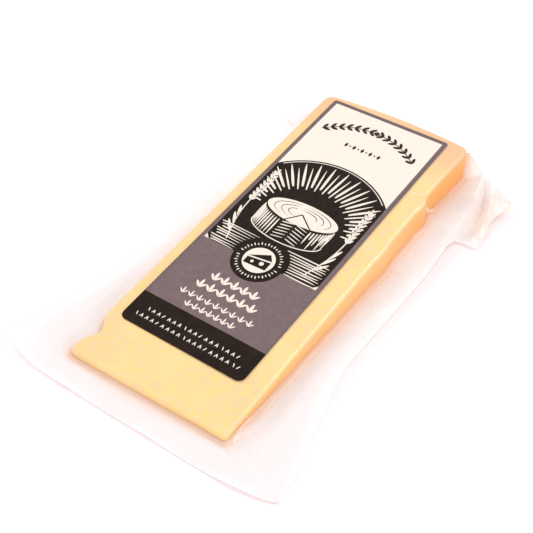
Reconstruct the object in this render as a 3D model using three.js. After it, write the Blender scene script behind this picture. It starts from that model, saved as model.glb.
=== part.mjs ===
// A portion of extra mature cheddar, sealed in a clear pouch, with a printed label on its top face.
// Millimetres, +Z up. The cheese lies on one cut face, with its thin nose towards -Y and its
// thick rind end towards +Y. The origin is on the resting face, in the middle of the pouch.

import * as THREE from 'three';

// The cheese: a wedge that rises from nose to rind, a little to the left in its pouch
const CHEESE_LEFT = -39.8;
const CHEESE_RIGHT = 35.6;
const NOSE_Y = -92;
const RIND_Y = 88;
const NOSE_THICKNESS = 4;
const RIND_THICKNESS = 23;
const NOSE_CORNER_RADIUS = 2.5;
const RIND_CORNER_RADIUS = 4;
const RIND_BOW = 2.4;
const NOSE_SKEW = 0.02;
const TOP_EDGE_RADIUS = 1.6;
const BOTTOM_EDGE_RADIUS = 1.0;

// A nick in the left edge, just behind the nose
const NICK_Y = -79;
const NICK_DEPTH = 4;
const NICK_SPREAD = 5;

// The pouch: how far its flat margin reaches from the middle, from the near edge to the far one.
// It is drawn in where it goes round the thick end, its corners stick out there as ears, and
// beyond the ears it is folded in. Each reach is [right, left].
const POUCH_LENGTH = 212;
const NEAR_REACH = [65, 65];
const WAIST_REACH = [51.5, 55];
const NECK_REACH = [50, 52];
const EAR_REACH = [60, 62.5];
const FAR_REACH = [38, 44];
const WAIST_Y = [-106, -30];
const NECK_Y = [15, 44];
const EAR_Y = [[45, 53], [66, 84]];
const FAR_Y = [88, 108];
const EAR_DENT = [4.5, 74, 6];
const POUCH_CORNER_RADIUS = 1.5;
const NEAR_BOW = 4.6;
const NEAR_BOW_POWER = 6;

// The margin's thickness, and the height at which it leaves the cheese, as a share of the
// cheese's own: first along the thin part, then at the thick end
const MARGIN_THICKNESS = 0.8;
const SEAM_SHARE = [0.2, 0.38];
const SEAM_RISE_Y = [5, 62];
const SEAM_LEAST = 1.8;
const CORNER_WEB_DROP = 3;
const FOOT_REACH = 1.5;
const WEB_REACH = 0.3;
const WEB_HEIGHT = 1.5;
const WALL_LEAST = 0.25;

// How the margin runs down to the table, and how it lifts and crumples towards the rim. Beside
// the thick end it first stays up as a tent, and falls at these distances: [right, left].
const TENT_FALL = [[10, 15], [3, 13]];
const TENT_Y = [[36, 52], [44, 66]];
const RIND_FALL = [0, 17];
const RIM_HEIGHT = 1.4;
const SIDE_LIFT = 2.4;
const MIDDLE_LIFT_Y = 5;
const MIDDLE_LIFT_SPREAD = 60;
const EAR_LIFT = [2.6, 1.2];
const CURL_HEIGHT = 2.6;
const CURL_SPREAD = 18;
const WAVE_HEIGHT = 0.5;
const WAVE_LENGTH = [39, 57];
const CRUMPLE_HEIGHT = 1.3;
const CRUMPLE_LENGTH = [11.4, 15];

// How finely the outlines are divided
const CORNER_STEPS = 5;
const SIDE_STEPS = 32;
const END_STEPS = 15;
const MARGIN_STEPS = [0.1, 0.2, 0.32, 0.45, 0.6, 0.78, 1];

// The label, laid out on the sloping top face
const LABEL_WIDTH = 60;
const LABEL_LENGTH = 156.4;
const LABEL_THICKNESS = 0.4;
const LABEL_GAP = 0.3;
const LABEL_X = -4;
const LABEL_Y = 7.8;
const LABEL_NOSE_RADIUS = 3;
const LABEL_RIND_RADIUS = 1.2;

const SLOPE = (RIND_THICKNESS - NOSE_THICKNESS) / (RIND_Y - NOSE_Y);

const { smoothstep, lerp } = THREE.MathUtils;

// 1 at the middle, falling away smoothly to 0 at about twice the spread
function bell(value, middle, spread) {
  return Math.exp(-(((value - middle) / spread) ** 2));
}

// A sine wave of a given length
function ripple(value, length) {
  return Math.sin(value * 2 * Math.PI / length);
}

// Height of the cheese's top face at a distance along it
function topAt(y) {
  return NOSE_THICKNESS + SLOPE * (y - NOSE_Y);
}

// A rounded rectangle, anticlockwise from its near right corner, as points with outward normals.
// Every rectangle gets the same number of points, so that two of them pair up.
function roundedRectangle(box, radii) {
  const corners = [
    new THREE.Vector2(box.right, box.near),
    new THREE.Vector2(box.right, box.far),
    new THREE.Vector2(box.left, box.far),
    new THREE.Vector2(box.left, box.near),
  ];
  const arcs = corners.map((corner, index) => {
    const radius = radii[index];
    const centre = new THREE.Vector2(
      corner.x - Math.sign(corner.x) * radius,
      corner.y - Math.sign(corner.y) * radius,
    );
    const start = (index - 1) * Math.PI / 2;
    return Array.from({ length: CORNER_STEPS + 1 }, (_, step) => {
      const angle = start + step / CORNER_STEPS * Math.PI / 2;
      const normal = new THREE.Vector2(Math.cos(angle), Math.sin(angle));
      return { point: centre.clone().addScaledVector(normal, radius), normal };
    });
  });
  return arcs.flatMap((arc, index) => {
    const from = arc.at(-1);
    const to = arcs[(index + 1) % arcs.length][0];
    const steps = index % 2 ? END_STEPS : SIDE_STEPS;
    const side = Array.from({ length: steps - 1 }, (_, step) => ({
      point: from.point.clone().lerp(to.point, (step + 1) / steps),
      normal: from.normal.clone(),
    }));
    return [...arc, ...side];
  });
}

// The cheese's outline: the rind end bows out, the nose runs a little askew, and the left edge
// has its nick
function cheeseOutline() {
  const box = { left: CHEESE_LEFT, right: CHEESE_RIGHT, near: NOSE_Y, far: RIND_Y };
  const radii = [NOSE_CORNER_RADIUS, RIND_CORNER_RADIUS, RIND_CORNER_RADIUS, NOSE_CORNER_RADIUS];
  const middle = (CHEESE_LEFT + CHEESE_RIGHT) / 2;
  const half = (CHEESE_RIGHT - CHEESE_LEFT) / 2;
  const outline = roundedRectangle(box, radii);
  for (const { point } of outline) {
    const across = (point.x - middle) / half;
    const atRind = smoothstep(point.y, RIND_Y - RIND_CORNER_RADIUS, RIND_Y);
    const atNose = 1 - smoothstep(point.y, NOSE_Y, 0);
    point.y += RIND_BOW * (1 - across * across) * atRind + NOSE_SKEW * point.x * atNose;
    if (point.x < 0) {
      point.x += NICK_DEPTH * bell(point.y, NICK_Y, NICK_SPREAD);
    }
  }
  return outline;
}

// How far the pouch reaches from the middle, at a distance along it, to one side: 0 is the
// right and 1 the left
function pouchReach(y, side) {
  const [dent, dentY, dentSpread] = EAR_DENT;
  const waist = lerp(NEAR_REACH[side], WAIST_REACH[side], smoothstep(y, ...WAIST_Y));
  const neck = lerp(waist, NECK_REACH[side], smoothstep(y, ...NECK_Y));
  const ear = lerp(neck, EAR_REACH[side], smoothstep(y, ...EAR_Y[side]));
  const folded = lerp(ear, FAR_REACH[side], smoothstep(y, ...FAR_Y));
  return folded - (side ? 0 : dent * bell(y, dentY, dentSpread));
}

// The pouch's rim, with its near edge bowed and its near corners sharp
function pouchOutline() {
  const half = POUCH_LENGTH / 2;
  const box = { left: -NEAR_REACH[1], right: NEAR_REACH[0], near: -half, far: half };
  const outline = roundedRectangle(box, Array(4).fill(POUCH_CORNER_RADIUS));
  for (const { point } of outline) {
    const side = point.x > 0 ? 0 : 1;
    const across = Math.abs(point.x) / NEAR_REACH[side];
    const atNear = 1 - smoothstep(point.y, -half, -half + 30);
    point.x *= pouchReach(point.y, side) / NEAR_REACH[side];
    point.y += NEAR_BOW * across ** NEAR_BOW_POWER * atNear;
  }
  return outline;
}

// Height at which the margin leaves the cheese: low on the wall all round, higher at the thick
// end, and drawn up as a web to the far right corner
function seamHeight({ point, normal }) {
  const top = topAt(point.y);
  const share = lerp(...SEAM_SHARE, smoothstep(point.y, ...SEAM_RISE_Y));
  const atCorner = Math.min(point.x, point.y) > 0;
  const cornering = atCorner ? (2 * Math.abs(normal.x * normal.y)) ** 2 : 0;
  return lerp(Math.max(share * top, SEAM_LEAST), top - CORNER_WEB_DROP, cornering);
}

// Height of the margin at a point on the line from the cheese to the rim
function marginHeight(foot, point, rimPoint) {
  const side = foot.normal.x > 0 ? 0 : 1;
  const distance = point.distanceTo(foot.point);
  const share = Math.min(distance / rimPoint.distanceTo(foot.point), 1);
  const sideways = foot.normal.x ** 2;
  const thickEnd = smoothstep(foot.point.y, ...TENT_Y[side]);
  const atRind = point.y > 0 ? 1 - sideways : 0;
  const tent = 1 - smoothstep(distance, ...TENT_FALL[side]);
  const beside = lerp(1 - share, tent, thickEnd * sideways);
  const held = lerp(beside, 1 - smoothstep(distance, ...RIND_FALL), atRind);
  const middleLift = SIDE_LIFT * bell(point.y, MIDDLE_LIFT_Y, MIDDLE_LIFT_SPREAD);
  const lift = sideways * lerp(middleLift, EAR_LIFT[side], thickEnd);
  const curl = CURL_HEIGHT * bell(point.x, -NEAR_REACH[1], CURL_SPREAD)
    * bell(point.y, -POUCH_LENGTH / 2, CURL_SPREAD);
  const wave = WAVE_HEIGHT * ripple(point.x, WAVE_LENGTH[0]) * ripple(point.y, WAVE_LENGTH[1]);
  const crumple = CRUMPLE_HEIGHT * thickEnd * sideways
    * ripple(point.x, CRUMPLE_LENGTH[0]) * ripple(point.y + point.x, CRUMPLE_LENGTH[1]);
  const rising = share * (RIM_HEIGHT + lift + wave + crumple);
  return Math.max(held * seamHeight(foot) + rising + curl, MARGIN_THICKNESS);
}

// One closed ring of points, at a distance outwards from the cheese's outline
function ringAt(outline, outwards, heightOf) {
  return outline.map((station) => {
    const point = station.point.clone().addScaledVector(station.normal, outwards);
    return new THREE.Vector3(point.x, point.y, heightOf(station, point));
  });
}

// The rings of the upper side, from the top face out to the foot of the wall
function upperRings(outline) {
  const edge = [0, 30, 60, 90].map((degrees) => {
    const angle = THREE.MathUtils.degToRad(degrees);
    const inwards = TOP_EDGE_RADIUS * (1 - Math.sin(angle));
    const drop = TOP_EDGE_RADIUS * (1 - Math.cos(angle));
    return ringAt(outline, -inwards, (_, point) => topAt(point.y) - drop);
  });
  const web = ringAt(outline, WEB_REACH, (station) => {
    const wallTop = topAt(station.point.y) - TOP_EDGE_RADIUS;
    return Math.min(seamHeight(station) + WEB_HEIGHT, wallTop - WALL_LEAST);
  });
  const foot = ringAt(outline, FOOT_REACH, (station) => seamHeight(station));
  return [...edge, web, foot];
}

// The rings of the lower side, from the foot of the wall in to the resting face. Where the margin
// lies low there is little room under it, so each ring keeps to a share of the height there.
function lowerRings(outline) {
  const under = (station) => seamHeight(station) - MARGIN_THICKNESS;
  const radius = (station) => Math.min(BOTTOM_EDGE_RADIUS, under(station) / 3);
  return [
    ringAt(outline, FOOT_REACH, under),
    ringAt(outline, WEB_REACH, (station) => Math.max(under(station) - 1, under(station) / 2)),
    ringAt(outline, 0, radius),
    ringAt(outline, -BOTTOM_EDGE_RADIUS / 3, (station) => radius(station) / 4),
    ringAt(outline, -BOTTOM_EDGE_RADIUS, () => 0),
  ];
}

// The rings of the margin, from the foot of the wall out to the rim
function marginRings(outline, rim, lowered) {
  return MARGIN_STEPS.map((step) => outline.map((station, index) => {
    const foot = station.point.clone().addScaledVector(station.normal, FOOT_REACH);
    const point = foot.lerp(rim[index].point, step);
    const height = marginHeight(station, point, rim[index].point);
    return new THREE.Vector3(point.x, point.y, height - lowered);
  }));
}

// A closed body from a stack of rings: a strip between each two rings, and a flat face that
// fills the first and the last
function closedBody(rings) {
  const count = rings[0].length;
  const index = [];
  for (let ring = 0; ring + 1 < rings.length; ring += 1) {
    for (let step = 0; step < count; step += 1) {
      const next = (step + 1) % count;
      const [a, b] = [ring * count + step, ring * count + next];
      const [c, d] = [a + count, b + count];
      index.push(a, c, b, b, c, d);
    }
  }
  const last = (rings.length - 1) * count;
  const fill = (ring) => THREE.ShapeUtils.triangulateShape(
    ring.map(({ x, y }) => new THREE.Vector2(x, y)), []);
  fill(rings[0]).forEach(([a, b, c]) => index.push(a, b, c));
  fill(rings.at(-1)).forEach(([a, b, c]) => index.push(last + a, last + c, last + b));
  const geometry = new THREE.BufferGeometry();
  geometry.setFromPoints(rings.flat());
  geometry.setIndex(index);
  geometry.computeVertexNormals();
  return geometry;
}

// The pouch drawn tight over the cheese, as one solid with its flat margin all round
function pouch() {
  const outline = cheeseOutline();
  const rim = pouchOutline();
  const rings = [
    ...upperRings(outline),
    ...marginRings(outline, rim, 0),
    ...marginRings(outline, rim, MARGIN_THICKNESS).reverse(),
    ...lowerRings(outline),
  ];
  const material = new THREE.MeshStandardMaterial({
    color: 0xf9dda4, roughness: 0.25, metalness: 0,
  });
  const mesh = new THREE.Mesh(closedBody(rings), material);
  mesh.name = 'pouch';
  return mesh;
}

// The printed label: a thin rounded plate, lying just clear of the sloping top face
function label() {
  const corners = [
    [1, -1, LABEL_NOSE_RADIUS],
    [1, 1, LABEL_RIND_RADIUS],
    [-1, 1, LABEL_RIND_RADIUS],
    [-1, -1, LABEL_NOSE_RADIUS],
  ];
  const shape = new THREE.Shape();
  corners.forEach(([right, far, radius], index) => {
    const x = right * (LABEL_WIDTH / 2 - radius);
    const y = far * (LABEL_LENGTH / 2 - radius);
    shape.absarc(x, y, radius, (index - 1) * Math.PI / 2, index * Math.PI / 2);
  });
  const geometry = new THREE.ExtrudeGeometry(shape, {
    depth: LABEL_THICKNESS, bevelEnabled: false, curveSegments: 6,
  });
  const material = new THREE.MeshStandardMaterial({
    color: 0x7d6e73, roughness: 0.55, metalness: 0,
  });
  const mesh = new THREE.Mesh(geometry, material);
  mesh.name = 'label';
  mesh.rotation.x = Math.atan(SLOPE);
  mesh.position.set(LABEL_X, LABEL_Y, topAt(LABEL_Y) + LABEL_GAP);
  return mesh;
}

const cheddar = new THREE.Group();
cheddar.add(pouch(), label());

export default cheddar;
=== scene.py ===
# %% [markdown]
# # A portion of hard cheese in a clear pouch
#
# This lesson dresses a fixed frame: a wedge of cheddar, sealed in clear film, with a long paper
# label on its sloping top. The frame says how big everything is and where it lies, so each piece
# is drawn straight in its place. Lengths in the cells are millimetres, and the last step of each
# piece turns them into metres.

# %% The frame
import math

import bmesh
import bpy
from mathutils import Matrix, Vector, noise


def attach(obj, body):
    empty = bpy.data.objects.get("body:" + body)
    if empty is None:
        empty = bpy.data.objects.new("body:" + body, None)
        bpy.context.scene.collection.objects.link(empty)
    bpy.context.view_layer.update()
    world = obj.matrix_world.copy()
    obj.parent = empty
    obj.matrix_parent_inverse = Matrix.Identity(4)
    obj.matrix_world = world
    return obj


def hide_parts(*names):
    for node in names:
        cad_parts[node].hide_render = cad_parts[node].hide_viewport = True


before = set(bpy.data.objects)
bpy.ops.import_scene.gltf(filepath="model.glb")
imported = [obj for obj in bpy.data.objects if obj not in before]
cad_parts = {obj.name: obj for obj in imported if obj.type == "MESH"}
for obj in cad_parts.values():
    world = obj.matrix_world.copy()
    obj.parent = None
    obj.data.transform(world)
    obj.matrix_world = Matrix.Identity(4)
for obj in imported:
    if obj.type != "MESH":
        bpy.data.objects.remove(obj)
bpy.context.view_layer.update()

MM = 0.001
print("frame nodes:", sorted(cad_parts))

# %% [markdown]
# ## The camera
#
# The camera looks down on the near right corner of the pack. It could be aimed by hand, but an
# angle round the pack, a height and a distance are easier to read and to correct. A long lens
# keeps the far end from looking small.

# %% The camera
CAMERA_ROUND = math.radians(35.75)
CAMERA_UP = math.radians(42.92)
CAMERA_DISTANCE = 437.2
CAMERA_AIM = Vector((-7.49, -7.28, 0))
LENS = 69.77

backwards = Vector((
    math.sin(CAMERA_ROUND) * math.cos(CAMERA_UP),
    -math.cos(CAMERA_ROUND) * math.cos(CAMERA_UP),
    math.sin(CAMERA_UP),
))
camera = bpy.data.objects.new("camera", bpy.data.cameras.new("camera"))
camera.data.lens = LENS
camera.location = (CAMERA_AIM + CAMERA_DISTANCE * backwards) * MM
camera.rotation_euler = backwards.to_track_quat("Z", "Y").to_euler()
camera.data.clip_start = 0.01
bpy.context.scene.collection.objects.link(camera)
bpy.context.scene.camera = camera
print("camera at", [round(part, 3) for part in camera.location])

# %% [markdown]
# ## Building materials from nodes
#
# Every finish here is a small tree of nodes. Placing nodes one by one fills pages, so one helper
# places a node and joins or sets its inputs. A second helper starts a material, and hands back
# its tree and the place of the pattern: the object's own coordinates, which stay with the piece
# when it is turned or exported.

# %% Node helpers
def add(tree, kind, inputs=(), **settings):
    """Places a node, and sets or joins its inputs, which are given by name or number."""
    node = tree.nodes.new(kind)
    for name, value in settings.items():
        setattr(node, name, value)
    for name, value in dict(inputs).items():
        if isinstance(value, bpy.types.NodeSocket):
            tree.links.new(value, node.inputs[name])
        else:
            node.inputs[name].default_value = value
    return node


def new_material(name):
    """Starts a material: the tree, and the object's own coordinates in it"""
    material = bpy.data.materials.new(name)
    material.use_nodes = True
    tree = material.node_tree
    tree.nodes.clear()
    place = add(tree, "ShaderNodeTexCoord").outputs["Object"]
    return material, tree, place


def finish_material(tree, shader):
    """Joins the last shader to the output"""
    output = add(tree, "ShaderNodeOutputMaterial")
    tree.links.new(shader, output.inputs["Surface"])


def blend(tree, share, low, high):
    """A colour between two colours, by a mask"""
    node = add(tree, "ShaderNodeMix", {0: share}, data_type="RGBA")
    for name, value in (("A", low), ("B", high)):
        socket = [item for item in node.inputs if item.name == name and item.type == "RGBA"][0]
        if isinstance(value, bpy.types.NodeSocket):
            tree.links.new(value, socket)
        else:
            socket.default_value = (*value, 1)
    return [item for item in node.outputs if item.type == "RGBA"][0]


def mark(tree, name):
    """A mask that the mesh carries point by point"""
    return add(tree, "ShaderNodeAttribute", attribute_name=name).outputs["Fac"]


def times(tree, first, second):
    """Two masks multiplied"""
    return add(tree, "ShaderNodeMath", {0: first, 1: second}, operation="MULTIPLY").outputs[0]


def between(tree, value, low, high, out_low=0.0, out_high=1.0):
    """A mask that rises smoothly while a value goes from low to high"""
    node = add(tree, "ShaderNodeMapRange", {
        "Value": value, "From Min": low, "From Max": high, "To Min": out_low, "To Max": out_high,
    }, interpolation_type="SMOOTHSTEP")
    return node.outputs["Result"]


# %% [markdown]
# Cheese, film, paper and ink all vary in soft patches, so that effect is one node group with named
# inputs: the size and the detail of the patches, and how much of the noise counts as dark and as
# light. It puts out a mask, and each material decides what the mask changes.

# %% The shared patches
def patches_group():
    """A node group that puts out a soft patchy mask"""
    tree = bpy.data.node_groups.new("soft patches", "ShaderNodeTree")
    sockets = [("Place", "INPUT", "NodeSocketVector"), ("Scale", "INPUT", "NodeSocketFloat"),
               ("Detail", "INPUT", "NodeSocketFloat"), ("Low", "INPUT", "NodeSocketFloat"),
               ("High", "INPUT", "NodeSocketFloat"), ("Mask", "OUTPUT", "NodeSocketFloat")]
    for name, way, kind in sockets:
        tree.interface.new_socket(name=name, in_out=way, socket_type=kind)
    given = add(tree, "NodeGroupInput").outputs
    cloud = add(tree, "ShaderNodeTexNoise", {
        "Vector": given["Place"], "Scale": given["Scale"], "Detail": given["Detail"],
    }).outputs["Fac"]
    mask = between(tree, cloud, given["Low"], given["High"])
    add(tree, "NodeGroupOutput", {"Mask": mask})
    return tree


SOFT_PATCHES = patches_group()


def patches(tree, place, scale, detail=3.0, low=0.35, high=0.65):
    """Places the shared patches, with a scale in patches to the metre"""
    node = add(tree, "ShaderNodeGroup", node_tree=SOFT_PATCHES)
    tree.links.new(place, node.inputs["Place"])
    for name, value in (("Scale", scale), ("Detail", detail), ("Low", low), ("High", high)):
        node.inputs[name].default_value = value
    return node.outputs["Mask"]


def bump(tree, height, distance, strength=1.0):
    """Turns a height mask into a normal. The distance is in millimetres."""
    return add(tree, "ShaderNodeBump", {
        "Height": height, "Distance": distance * MM, "Strength": strength,
    }).outputs["Normal"]


# %% [markdown]
# ## The outline of the cheese and of its pouch
#
# The wedge and the pouch are both rounded rectangles that have been pulled about a little. If both
# are walked round in the same number of steps, each step on the cheese has a partner on the rim,
# and everything between them can be drawn as rings. So the outlines come first, as stations: a
# place, and the direction that points outwards there.

# %% The sizes of the wedge
CHEESE = {"left": -39.8, "right": 35.6, "near": -92, "far": 88}
NOSE_THICKNESS = 4
SLOPE = 19 / 180
CORNER_RADII = [1.8, 4, 4, 2.5]
RIND_BOW = 2.4
NOSE_SKEW = 0.02
TOP_RADIUS = 1.6
BOTTOM_RADIUS = 1.0
BOTTOM_RADII = (0.35, 1.0)
BOTTOM_ROUNDING_Y = (-92, -60)
CORNER_STEPS = 8
SIDE_STEPS = 140
END_STEPS = 56


def smoothstep(value, low, high):
    """0 below low, 1 above high, and a smooth rise between them"""
    share = min(max((value - low) / (high - low), 0.0), 1.0)
    return share * share * (3 - 2 * share)


def lerp(first, second, share):
    """A value between two values"""
    return first + (second - first) * share


def bell(value, middle, spread):
    """1 at the middle, falling away smoothly to 0 at about twice the spread"""
    return math.exp(-((value - middle) / spread) ** 2)


def ripple(value, length):
    """A sine wave of a given length"""
    return math.sin(value * math.tau / length)


def top_at(y):
    """Height of the wedge's top face at a distance along it"""
    return NOSE_THICKNESS + SLOPE * (y - CHEESE["near"])


print("wedge from", top_at(CHEESE["near"]), "to", round(top_at(CHEESE["far"]), 1), "mm thick")


# %% [markdown]
# A rounded rectangle is four arcs joined by straight sides. Stations on it could be spaced evenly,
# but corners need more of them than sides do, so arcs, long sides and short sides each have their
# own number of steps. The same walk then serves the cheese, its top face and the pouch.

# %% Stations round a rounded rectangle
def rounded_rectangle(box, radii):
    """Places and outward directions, anticlockwise from the near right corner"""
    corners = [
        (box["right"], box["near"], 1, -1), (box["right"], box["far"], 1, 1),
        (box["left"], box["far"], -1, 1), (box["left"], box["near"], -1, -1),
    ]
    arcs = []
    for index, ((x, y, right, far), radius) in enumerate(zip(corners, radii)):
        centre = Vector((x - right * radius, y - far * radius))
        arc = []
        for step in range(CORNER_STEPS + 1):
            angle = (index - 1 + step / CORNER_STEPS) * math.pi / 2
            outward = Vector((math.cos(angle), math.sin(angle)))
            arc.append((centre + radius * outward, outward))
        arcs.append(arc)
    stations = []
    for index, arc in enumerate(arcs):
        stations += arc
        start, outward = arc[-1]
        end = arcs[(index + 1) % 4][0][0]
        steps = END_STEPS if index % 2 else SIDE_STEPS
        stations += [(start.lerp(end, step / steps), outward) for step in range(1, steps)]
    return stations


# %% [markdown]
# The real wedge isn't exact: the rind end bows out, the nose runs askew, the left edge has a nick
# behind the nose, and the right edge steps in where the film puckers. Each of these is a small
# shift of the stations.

# %% The outline of the cheese
NICK = {"y": -79, "depth": 4, "spread": 5}
EDGE_STEPS = [(14.7, 5.0, 0.6), (46.6, 4.0, 0.8)]
EDGE_STEP_BACK = (-1.0, (48, 52), (56, 84))


def across_wedge(x):
    """-1 at the left wall, 0 in the middle and 1 at the right wall"""
    middle = (CHEESE["left"] + CHEESE["right"]) / 2
    half = (CHEESE["right"] - CHEESE["left"]) / 2
    return (x - middle) / half


def cheese_stations():
    """The stations round the cheese"""
    stations = []
    for place, outward in rounded_rectangle(CHEESE, CORNER_RADII):
        x, y = place
        across = across_wedge(x)
        at_rind = smoothstep(y, CHEESE["far"] - CORNER_RADII[1], CHEESE["far"])
        at_nose = 1 - smoothstep(y, CHEESE["near"], 0)
        y += RIND_BOW * (1 - across * across) * at_rind + NOSE_SKEW * x * at_nose
        if x < 0:
            x += NICK["depth"] * bell(y, NICK["y"], NICK["spread"])
        else:
            side = max(outward.x, 0)
            x += side * sum(size * bell(y, where, spread) for where, spread, size in EDGE_STEPS)
            back, inwards, outwards = EDGE_STEP_BACK
            x += side * back * (smoothstep(y, *inwards) - smoothstep(y, *outwards))
        stations.append((Vector((x, y)), outward))
    return stations


WALL = cheese_stations()
COUNT = len(WALL)
print(COUNT, "stations round the cheese")

# %% [markdown]
# The pouch's rim is drawn in at the waist, where the film goes round the thick end. Past that its
# corners stick out as ears, and beyond the ears it is folded in.

# %% The outline of the pouch
POUCH_HALF_WIDTH = 65
POUCH_HALF = 106
NEAR_REACH = (65, 65)
WAIST_REACH = (51.5, 55)
NECK_REACH = (50, 52)
EAR_REACH = (60, 62.5)
FAR_REACH = (38, 44)
WAIST_Y = (-106, -30)
NECK_Y = (15, 44)
EAR_Y = ((45, 53), (66, 84))
FAR_Y = (88, 108)
EAR_DENT = (4.5, 74, 6)
NEAR_BOW = 4.6
NEAR_BOW_LENGTH = 30
RIM_RADIUS = 1.5


def pouch_reach(y, side):
    """How far the pouch reaches from the middle: side 0 is the right, and 1 the left"""
    reach = lerp(NEAR_REACH[side], WAIST_REACH[side], smoothstep(y, *WAIST_Y))
    reach = lerp(reach, NECK_REACH[side], smoothstep(y, *NECK_Y))
    reach = lerp(reach, EAR_REACH[side], smoothstep(y, *EAR_Y[side]))
    reach = lerp(reach, FAR_REACH[side], smoothstep(y, *FAR_Y))
    dent, where, spread = EAR_DENT
    return reach - (0 if side else dent * bell(y, where, spread))


def pouch_stations():
    """The stations round the pouch's rim"""
    box = {"left": -POUCH_HALF_WIDTH, "right": POUCH_HALF_WIDTH,
           "near": -POUCH_HALF, "far": POUCH_HALF}
    stations = []
    for place, outward in rounded_rectangle(box, [RIM_RADIUS] * 4):
        x, y = place
        side = 0 if x > 0 else 1
        at_near_end = 1 - smoothstep(y, -POUCH_HALF, -POUCH_HALF + NEAR_BOW_LENGTH)
        bow = NEAR_BOW * (abs(x) / POUCH_HALF_WIDTH) ** 6 * at_near_end
        x *= pouch_reach(y, side) / POUCH_HALF_WIDTH
        stations.append((Vector((x, y + bow)), outward))
    return stations


RIM = pouch_stations()
print("rim", round(max(place.x for place, _ in RIM) - min(place.x for place, _ in RIM), 1), "mm wide")

# %% [markdown]
# ## Rings drawn on with an operator
#
# A body like this could be lofted from curves or carved out of a box. Here one closed loop is
# drawn on, ring by ring: each new ring is an extrusion of the last ring's edges, and its points
# are then moved to their places. The rings keep their order, so a mask can be written on each
# point at the same time. At both ends the hole is filled.

# %% Drawing on ring by ring
def first_ring(bm, places):
    """A closed loop of edges through the places"""
    points = bmesh.ops.create_circle(bm, cap_ends=False, radius=1, segments=len(places))["verts"]
    for point, place in zip(points, places):
        point.co = place
    return points, list(bm.edges)


def next_ring(bm, points, edges, places):
    """Extrudes a loop of edges, and moves the new points to their places"""
    made = bmesh.ops.extrude_edge_only(bm, edges=edges)["geom"]
    fresh = {item for item in made if isinstance(item, bmesh.types.BMVert)}
    new_edges = [item for item in made if isinstance(item, bmesh.types.BMEdge)
                 and item.verts[0] in fresh and item.verts[1] in fresh]
    new_points = []
    for point, place in zip(points, places):
        partner = next(edge.other_vert(point) for edge in point.link_edges
                       if edge.other_vert(point) in fresh)
        partner.co = place
        new_points.append(partner)
    return new_points, new_edges


def closed_body(rings, marks):
    """A closed body from rings, each with its own value for every mark"""
    bm = bmesh.new()
    layers = [bm.verts.layers.float.new(name) for name in marks]
    points, edges = first_ring(bm, rings[0][0])
    first_edges = edges
    for number, (places, *values) in enumerate(rings):
        if number:
            points, edges = next_ring(bm, points, edges, places)
        for layer, value in zip(layers, values):
            for index, point in enumerate(points):
                point[layer] = value[index] if isinstance(value, list) else value
    bmesh.ops.edgeloop_fill(bm, edges=first_edges)
    bmesh.ops.edgeloop_fill(bm, edges=edges)
    bmesh.ops.recalc_face_normals(bm, faces=bm.faces)
    return bm


def make_piece(name, bm, material, smooth=True):
    """Turns a bmesh into an object in metres, which rides with the pack"""
    bmesh.ops.scale(bm, vec=(MM, MM, MM), verts=bm.verts)
    mesh = bpy.data.meshes.new(name)
    bm.to_mesh(mesh)
    bm.free()
    mesh.polygons.foreach_set("use_smooth", [smooth] * len(mesh.polygons))
    piece = bpy.data.objects.new(name, mesh)
    piece.data.materials.append(material)
    bpy.context.scene.collection.objects.link(piece)
    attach(piece, "root")
    print(name, len(mesh.polygons), "faces")
    return piece


# %% [markdown]
# ## The lie of the surface
#
# Cheese cut with a wire is almost flat, with shallow swells, and the film shows every one of them.
# Cheese and film are both drawn from the same height, the film a tenth of a millimetre further
# out, so they never cross.

# %% Swells in the cut faces
FILM_GAP = 0.12
CHEESE_SINK = 0.16
TOP_SWELL = 0.09
WALL_SWELL = 0.16
OUTLINE_FADE = (2, 22)


def swell(x, y):
    """Shallow swells in the top face"""
    broad = noise.noise(Vector((x / 21, y / 26, 3.1)))
    small = noise.noise(Vector((x / 7, y / 8, 9.4)))
    return TOP_SWELL * broad + 0.3 * TOP_SWELL * small


def wall_swell(station, height):
    """Shallow swells in the walls, left out at the edges"""
    place, _ = WALL[station]
    return WALL_SWELL * noise.noise(Vector((place.x / 9, place.y / 12, height / 6)))


def inner_stations(inset):
    """Stations on the top face, at a distance in from its edge"""
    box = {"left": CHEESE["left"] + inset, "right": CHEESE["right"] - inset,
           "near": CHEESE["near"] + inset, "far": CHEESE["far"] - inset}
    room = (box["right"] - box["left"]) / 2
    radii = [min(radius - TOP_RADIUS + 0.3 * (inset - TOP_RADIUS), 0.9 * room)
             for radius in CORNER_RADII]
    fade = 1 - smoothstep(inset, *OUTLINE_FADE)
    plain = rounded_rectangle(CHEESE, CORNER_RADII)
    return [
        place + fade * (WALL[index][0] - plain[index][0])
        for index, (place, _) in enumerate(rounded_rectangle(box, radii))
    ]


# %% [markdown]
# The rings of the top and of the wall are the same for cheese and film, apart from how far out
# they lie. The top's rings start near the middle and go out to the rounded edge.

# %% The rings of the top and its rounded edge
INSETS = [36, 34, 32, 30, 28, 26, 24, 22, 20, 18, 16, 14, 12, 10.5, 9, 7.5, 6, 4.8, 3.6, 2.6]
EDGE_ANGLES = [0, 15, 30, 45, 60, 75, 90]


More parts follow.
